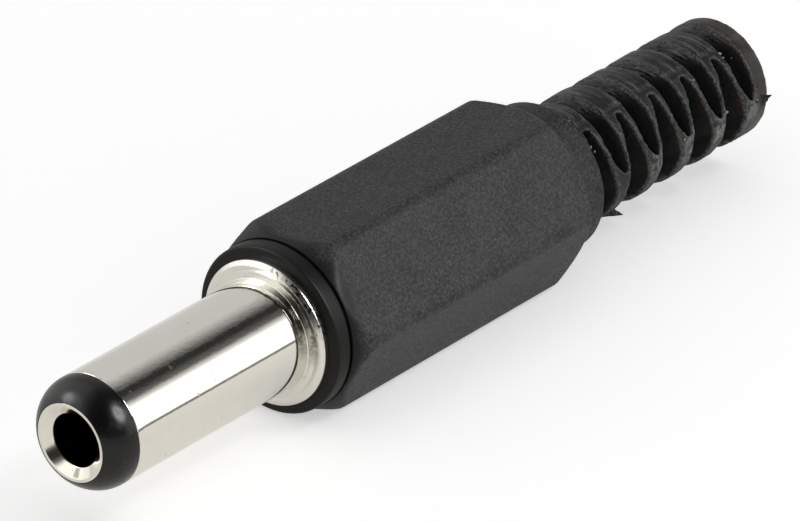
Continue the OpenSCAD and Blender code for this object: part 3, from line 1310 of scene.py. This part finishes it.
@dataclass
class StrainRelief:
    """Slotted strain relief, made by a rule that fills space where the moulding is."""

    start: float = 20.45
    outer_r: float = 3.05
    bore_r: float = 1.8
    pitch: float = 2.44
    pairs: int = 5
    margin: float = 0.06
    around: float = 3.4
    sunk: float = 0.3
    voxel: float = 0.066
    share: float = 0.62
    highlight_w: float = 0.17
    highlight_from: Spot = (2.80, 2.95)
    wall_round: float = 0.14
    end_round: float = 0.22
    edge_round: float = 0.07
    rows: Tuple[SlotRow, ...] = (LeaningSlots(21.45, -1.0, 1.2), SteppedSlots(22.67, 1.0, 1.52))

    def slot(self, rule: Rule, row: SlotRow, x: Val, radius: Val) -> Val:
        """How far a place lies outside a row's nearest slot, in millimetres.

        Args:
            rule: the rule's tree.
            row: the row.
            x: place along the axis.
            radius: distance from the axis.

        Returns:
            A value below 0 inside a slot.
        """
        half = TURN / 12
        side = (rule.y * math.sin(half) + rule.z * math.cos(half)) * row.way
        pitch = rule.input("Pitch")
        count = rule.math("ROUND", (x - row.middle) / pitch)
        count = count.high(0.0).low(rule.input("Slots on a side") - 1.0)
        local = x - row.middle - pitch * count
        front, rear = row.walls(side, radius)
        between = (front - local).soft_high(local - rear, self.wall_round)
        return between.soft_high(-(side + row.past), self.end_round)

    def moulding(self, rule: Rule) -> Tuple[Val, Val]:
        """The rule for where plastic is.

        Args:
            rule: the rule's tree.

        Returns:
            A value below 0 in the plastic, and the share of a slot's edge that gets a painted
            highlight.
        """
        wander, waves, ripple = (rule.noise(0.8) - 0.5, rule.noise(3.5, 2.0) - 0.5,
                                 rule.noise(1.9, 2.0) - 0.5)
        x = rule.x + wander * 0.16 + waves * 0.17
        radius = rule.radius + ripple * 0.10
        body = (radius - rule.input("Outside radius")).soft_high(
            rule.x - rule.input("End"), self.end_round)
        body = body.soft_high(rule.input("Bore radius") - rule.radius, 0.06)
        body = body.high(self.start - rule.x)
        slots = [self.slot(rule, row, x, radius) for row in self.rows]
        for slot in slots:
            body = body.soft_high(-slot, self.edge_round)
        # The slots' rims, which the material gives a painted highlight.
        painted_highlight = slots[0].low(slots[1]).step(self.highlight_w, 0.02) * rule.radius.step(*self.highlight_from)
        return body, painted_highlight

    def build(self) -> None:
        """Builds the strain relief and dresses it."""
        end = reach("cover")[1] - self.margin
        rule = Rule("relief_rule", {
            "Outside radius": self.outer_r, "Bore radius": self.bore_r, "End": end,
            "Pitch": self.pitch, "Slots on a side": self.pairs}, unit=1.0)
        body, painted_highlight = self.moulding(rule)
        low = (self.start - self.sunk, -self.around, -self.around)
        high = (end + self.sunk, self.around, self.around)
        cells = {f"Resolution {axis}": int((top - bottom) / self.voxel)
                 for axis, bottom, top in zip("XYZ", low, high)}
        cube = rule.link("GeometryNodeVolumeCube", None, {
            "Density": -body, "Background": -1.0, "Min": low, "Max": high, **cells})
        skin = rule.link("GeometryNodeVolumeToMesh", None, {"Volume": cube, "Threshold": 0.0})
        # Stores the painted highlight's share on the skin for the material.
        marked = rule.link("GeometryNodeStoreNamedAttribute",
                           {"data_type": "FLOAT", "domain": "POINT"},
                           {"Geometry": skin, "Name": EDGE, "Value": painted_highlight})
        plastic = RELIEF_PLASTIC.material()
        rule.finish(rule.link("GeometryNodeTransform", None,
                              {"Geometry": marked, "Scale": (MM, MM, MM)}), plastic)
        seed = add_mesh("slotted_strain_relief", np.zeros((3, 3)), [[0, 1, 2]], plastic)
        piece = rule.put_on(seed, self.share)
        piece.data.shade_smooth()
        keep(piece, Body.COVER, Slot.COVER, ["cover"])


@dataclass
class Flash:
    """Moulding flash on the strain relief: pale flakes at the slots' ends and two dark burrs.

    A flake is its place along the axis, its angle from the top and its size. A burr is its root,
    its tip and its width.
    """

    radius: float = 3.05
    lift: float = 0.02
    wobble: float = 0.07
    wobble_scale: float = 7.0
    tilt: float = 0.4
    flakes: Tuple[Tuple[float, float, float], ...] = (
        (21.02, -52, 0.13), (21.15, -57, 0.09), (21.1, -21, 0.08), (21.3, -19, 0.06),
        (24.2, -27, 0.09), (31.75, -36, 0.09), (31.74, -41, 0.09), (30.55, -86, 0.12),
        (32.15, -45, 0.05), (23.2, -55, 0.07), (29.22, -45, 0.08), (30.4, -34, 0.06),
        (27.3, -89, 0.07), (32.95, -91, 0.07), (24.9, -90, 0.07))
    flake_form: Point = (0.55, 1.0, 0.4)
    burrs: Tuple[Tuple[Point, Point, float], ...] = (
        ((22.40, -1.55, -2.08), (23.76, -2.13, -2.78), 1.0),
        ((33.32, -2.30, -0.75), (33.54, -3.50, 0.12), 1.1))
    burr_thin: float = 0.15

    def build(self) -> None:
        """Builds the pale flakes and the dark burrs."""
        places, sizes, turns = [], [], []
        for i, (x, angle, size) in enumerate(self.flakes):
            out = Vector((0.0, math.sin(math.radians(angle)), math.cos(math.radians(angle))))
            places.append(Vector((x, 0, 0)) + out * (self.radius + self.lift))
            sizes.append(tuple(size * share for share in self.flake_form))
            leaning = out + Vector((self.tilt * math.sin(i * 2.4), 0, 0))
            turns.append(leaning.to_track_quat("Z", "X").to_euler())
        self.scatter("moulding_flash", places, sizes, turns, RELIEF_FLASH)
        places, sizes, turns = [], [], []
        for root, tip, width in self.burrs:
            along = Vector(tip) - Vector(root)
            places.append(Vector(root))
            sizes.append((width * self.burr_thin, width * 0.5, along.length))
            turns.append(along.to_track_quat("Z", "Y").to_euler())
        self.scatter("moulding_burrs", places, sizes, turns, RELIEF_PLASTIC, True)

    def scatter(self, name: str, places: Sequence[Vector], sizes: Sequence[Point],
                turns: Sequence[Any], finish: Moulding, pointed: bool = False) -> None:
        """Sets one wobbly seed shape on marked points.

        Args:
            name: the piece's name.
            places: where the shapes sit, in millimetres.
            sizes: their half widths along their own axes.
            turns: their rotations.
            finish: their plastic.
            pointed: whether the seed is a cone that stands on its place instead of a ball.
        """
        plastic = finish.material()
        piece = add_mesh(name, np.array(places), [], plastic)
        for mark, values in (("size", sizes), ("turn", turns)):
            marks = piece.data.attributes.new(mark, "FLOAT_VECTOR", "POINT")
            marks.data.foreach_set("vector", np.array(values, float).ravel())
        rule = Rule(name + "_rule", {"Wobble": self.wobble})
        if pointed:
            seed = rule.link("GeometryNodeMeshCone", None, {
                "Vertices": 24, "Side Segments": 10, "Radius Top": 0.0, "Radius Bottom": MM,
                "Depth": MM})
        else:
            seed = rule.link("GeometryNodeMeshIcoSphere", None, {"Radius": MM, "Subdivisions": 3})
        size, turn = (rule.link("GeometryNodeInputNamedAttribute", {"data_type": "FLOAT_VECTOR"},
                                {"Name": mark}) for mark in ("size", "turn"))
        placed = rule.link("GeometryNodeInstanceOnPoints", None,
                           {"Points": rule.source.outputs[0], "Instance": seed,
                            "Rotation": turn, "Scale": size})
        plain = rule.link("GeometryNodeRealizeInstances", None, {0: placed})
        noise = rule.noise(self.wobble_scale, 2.0, "Color")
        centred = rule.vector("SUBTRACT", {0: noise, 1: (0.5, 0.5, 0.5)})
        rule.finish(rule.moved(plain, centred, rule.input("Wobble") * MM * 2.0), plastic)
        piece = rule.put_on(piece)
        piece.data.shade_smooth()
        keep(piece, Body.COVER, Slot.COVER)


# ---------------------------------------------------------------- the scene


@dataclass(frozen=True)
class Lamp:
    """One soft round lamp that faces the object.

    The way leads to it, lengths are in millimetres and the power is in watts. A shiny lamp only
    shows in shiny surfaces; another one only gives light.
    """

    name: str
    way: Point
    distance: float
    size: float
    power: float
    shiny: bool

    def hang(self, target: Point) -> None:
        """Hangs the lamp.

        Args:
            target: what it faces, in millimetres.
        """
        data = bpy.data.lights.new(self.name, "AREA")
        data.shape, data.size, data.energy = "DISK", self.size * MM, self.power
        lamp = bpy.data.objects.new(self.name, data)
        out = Vector(self.way).normalized()
        lamp.location = (Vector(target) + out * self.distance) * MM
        lamp.rotation_euler = (-out).to_track_quat("-Z", "Y").to_euler()
        lamp.visible_glossy = self.shiny
        lamp.visible_diffuse = not self.shiny
        bpy.context.scene.collection.objects.link(lamp)


@dataclass(frozen=True)
class Card:
    """A strip beside the object that only shiny surfaces show."""

    name: str
    near: float
    far: float
    colour: Colour

    def lay(self, level: float, half: float) -> None:
        """Lays the card.

        Args:
            level: how high it lies, in millimetres.
            half: half its length.
        """
        s = Surface(self.name)
        lit = s.link("ShaderNodeEmission", None, {0: opaque(self.colour), 1: 1.0})
        s.node("ShaderNodeOutputMaterial", None, {0: lit})
        card = add_sheet(self.name, (-half, half), (-self.far, -self.near), level, s.material)
        card.visible_camera = card.visible_diffuse = card.visible_shadow = False
        card.visible_transmission = False


@dataclass
class Studio:
    """Floor, soft lights and the camera.

    The surroundings are white where they are seen directly and a soft dome where they give light.
    Shiny surfaces show a pale backdrop with a dark gap overhead beside a bright soft box: both
    lists give the brightness over the angle from the top, to the sides and in front.
    """

    camera_at: Point = (-286.382, -252.745, 191.897)
    right: Point = (0.63607, -0.77091, -0.03334)
    up: Point = (0.36047, 0.25866, 0.89619)
    lens: float = 423.2
    sensor: float = 36.0
    floor_side: float = 3000.0
    card_lift: float = 0.5
    target: Point = (8.0, 0.0, 0.0)
    warmth: Colour = (1.0, 0.995, 0.97)
    dome: Colour = (0.52, 0.52, 0.52)
    front_until: Spot = (0.0, 0.45)
    side_box: Tuple[Spot, ...] = (
        (-180, 0.68), (-20, 0.68), (-7, 0.48), (0, 0.33), (8, 0.165), (16, 0.033), (24, 0.035),
        (31, 0.09), (39, 0.155), (46, 0.80), (51, 1.5), (100, 1.5), (180, 0.9))
    front_box: Tuple[Spot, ...] = (
        (-180, 0.9), (-100, 0.9), (-70, 1.3), (-20, 1.3), (0, 0.20), (22, 0.03), (66, 0.03),
        (90, 0.22), (110, 0.5), (180, 0.9))
    floor_colour: Colour = (0.86, 0.86, 0.86)
    floor_near: Colour = (0.72, 0.69, 0.63)
    floor_far: Colour = (0.56, 0.55, 0.52)
    floor_turns: Spot = (-20, 20)
    floor_glow: float = 0.42
    seen_glow: float = 0.05
    cards: Tuple[Card, ...] = (
        Card("gap_card", 33.0, 79.0, (0.28, 0.27, 0.24)),
        Card("white_card", 79.0, 1400.0, (1.5, 1.5, 1.48)))
    lamps: Tuple[Lamp, ...] = (
        Lamp("glint", (0.144, -0.757, 0.638), 450.0, 240.0, 1.7, True),
        Lamp("back_glint", (-0.50, 0.62, 0.60), 450.0, 180.0, 0.50, True),
        Lamp("key", (0.30, -0.55, 0.78), 450.0, 120.0, 0.23, False),
        Lamp("side", (-0.3, -0.95, 0.12), 500.0, 220.0, 0.30, False))

    def camera(self) -> None:
        """Sets the camera at its viewing angle."""
        data = bpy.data.cameras.new("camera")
        data.lens, data.sensor_width = self.lens, self.sensor
        data.clip_start, data.clip_end = 0.01, 20.0
        right, up = Vector(self.right).normalized(), Vector(self.up).normalized()
        back = right.cross(up)
        turn = Matrix((right, up, back)).transposed().to_4x4()
        camera = bpy.data.objects.new("camera", data)
        camera.matrix_world = Matrix.Translation(Vector(self.camera_at) * MM) @ turn
        bpy.context.scene.collection.objects.link(camera)
        bpy.context.scene.camera = camera

    def world(self) -> None:
        """Fills the surroundings."""
        world = bpy.data.worlds.new("studio")
        world.use_nodes = True
        bpy.context.scene.world = world
        g = Graph(world.node_tree)
        g.tree.nodes.clear()
        seen, glossy = (g.value("ShaderNodeLightPath", output=f"Is {kind} Ray")
                        for kind in ("Camera", "Glossy"))
        x, y, z = g.parts(g.link("ShaderNodeTexCoord", output="Generated"))
        turn = g.math("ARCTAN2", -y, z) / TURN + 0.5
        side, front = (
            g.link("ShaderNodeValToRGB",
                   {"stops": [(a / 360 + 0.5, scaled(self.warmth, v)) for a, v in box]}, {0: turn})
            for box in (self.side_box, self.front_box))
        around = g.mix(x.step(*self.front_until), front, side)
        colour = g.mix(seen, g.mix(glossy, self.dome, around), (1.0, 1.0, 1.0))
        back = g.link("ShaderNodeBackground", None, {0: colour, 1: 1.0})
        g.node("ShaderNodeOutputWorld", None, {0: back})

    def floor(self, level: float, half: float) -> None:
        """Lays the floor that keeps the shadow.

        Args:
            level: how high it lies, in millimetres.
            half: half its side.
        """
        s = Surface("pale_floor")
        seen, shiny = (s.value("ShaderNodeLightPath", output=f"Is {kind} Ray")
                       for kind in ("Camera", "Glossy"))
        mirrored = s.mix(s.y.step(*self.floor_turns), self.floor_near, self.floor_far)
        matte = s.link("ShaderNodeBsdfDiffuse", None,
                       {0: s.mix(shiny, self.floor_colour, mirrored)})
        lit = s.link("ShaderNodeEmission", None,
                     {0: (1, 1, 1, 1), 1: self.floor_glow + seen * self.seen_glow})
        both = s.link("ShaderNodeAddShader", None, {0: matte, 1: lit})
        s.node("ShaderNodeOutputMaterial", None, {0: both})
        add_sheet("floor", (-half, half), (-half, half), level, s.material)

    def build(self) -> None:
        """Sets up camera, world, floor, cards and lamps."""
        level, half = CAD_BOX[0][2] / MM, self.floor_side / 2
        self.camera()
        self.world()
        self.floor(level, half)
        for card in self.cards:
            card.lay(level + self.card_lift, half)
        for lamp in self.lamps:
            lamp.hang(self.target)


def main() -> None:
    """Builds the pieces in order and reports each."""
    logging.basicConfig(level=logging.INFO, format="%(name)s: %(message)s")
    scene = bpy.context.scene
    scene.view_settings.view_transform = "Standard"
    for part in (Sleeve(), Nose(), Contact(), Lugs(), HexCover(), StrainRelief(), Flash(),
                 Studio()):
        part.build()
        LOG.info("built %s", type(part).__name__)


if __name__ == "__main__":
    main()
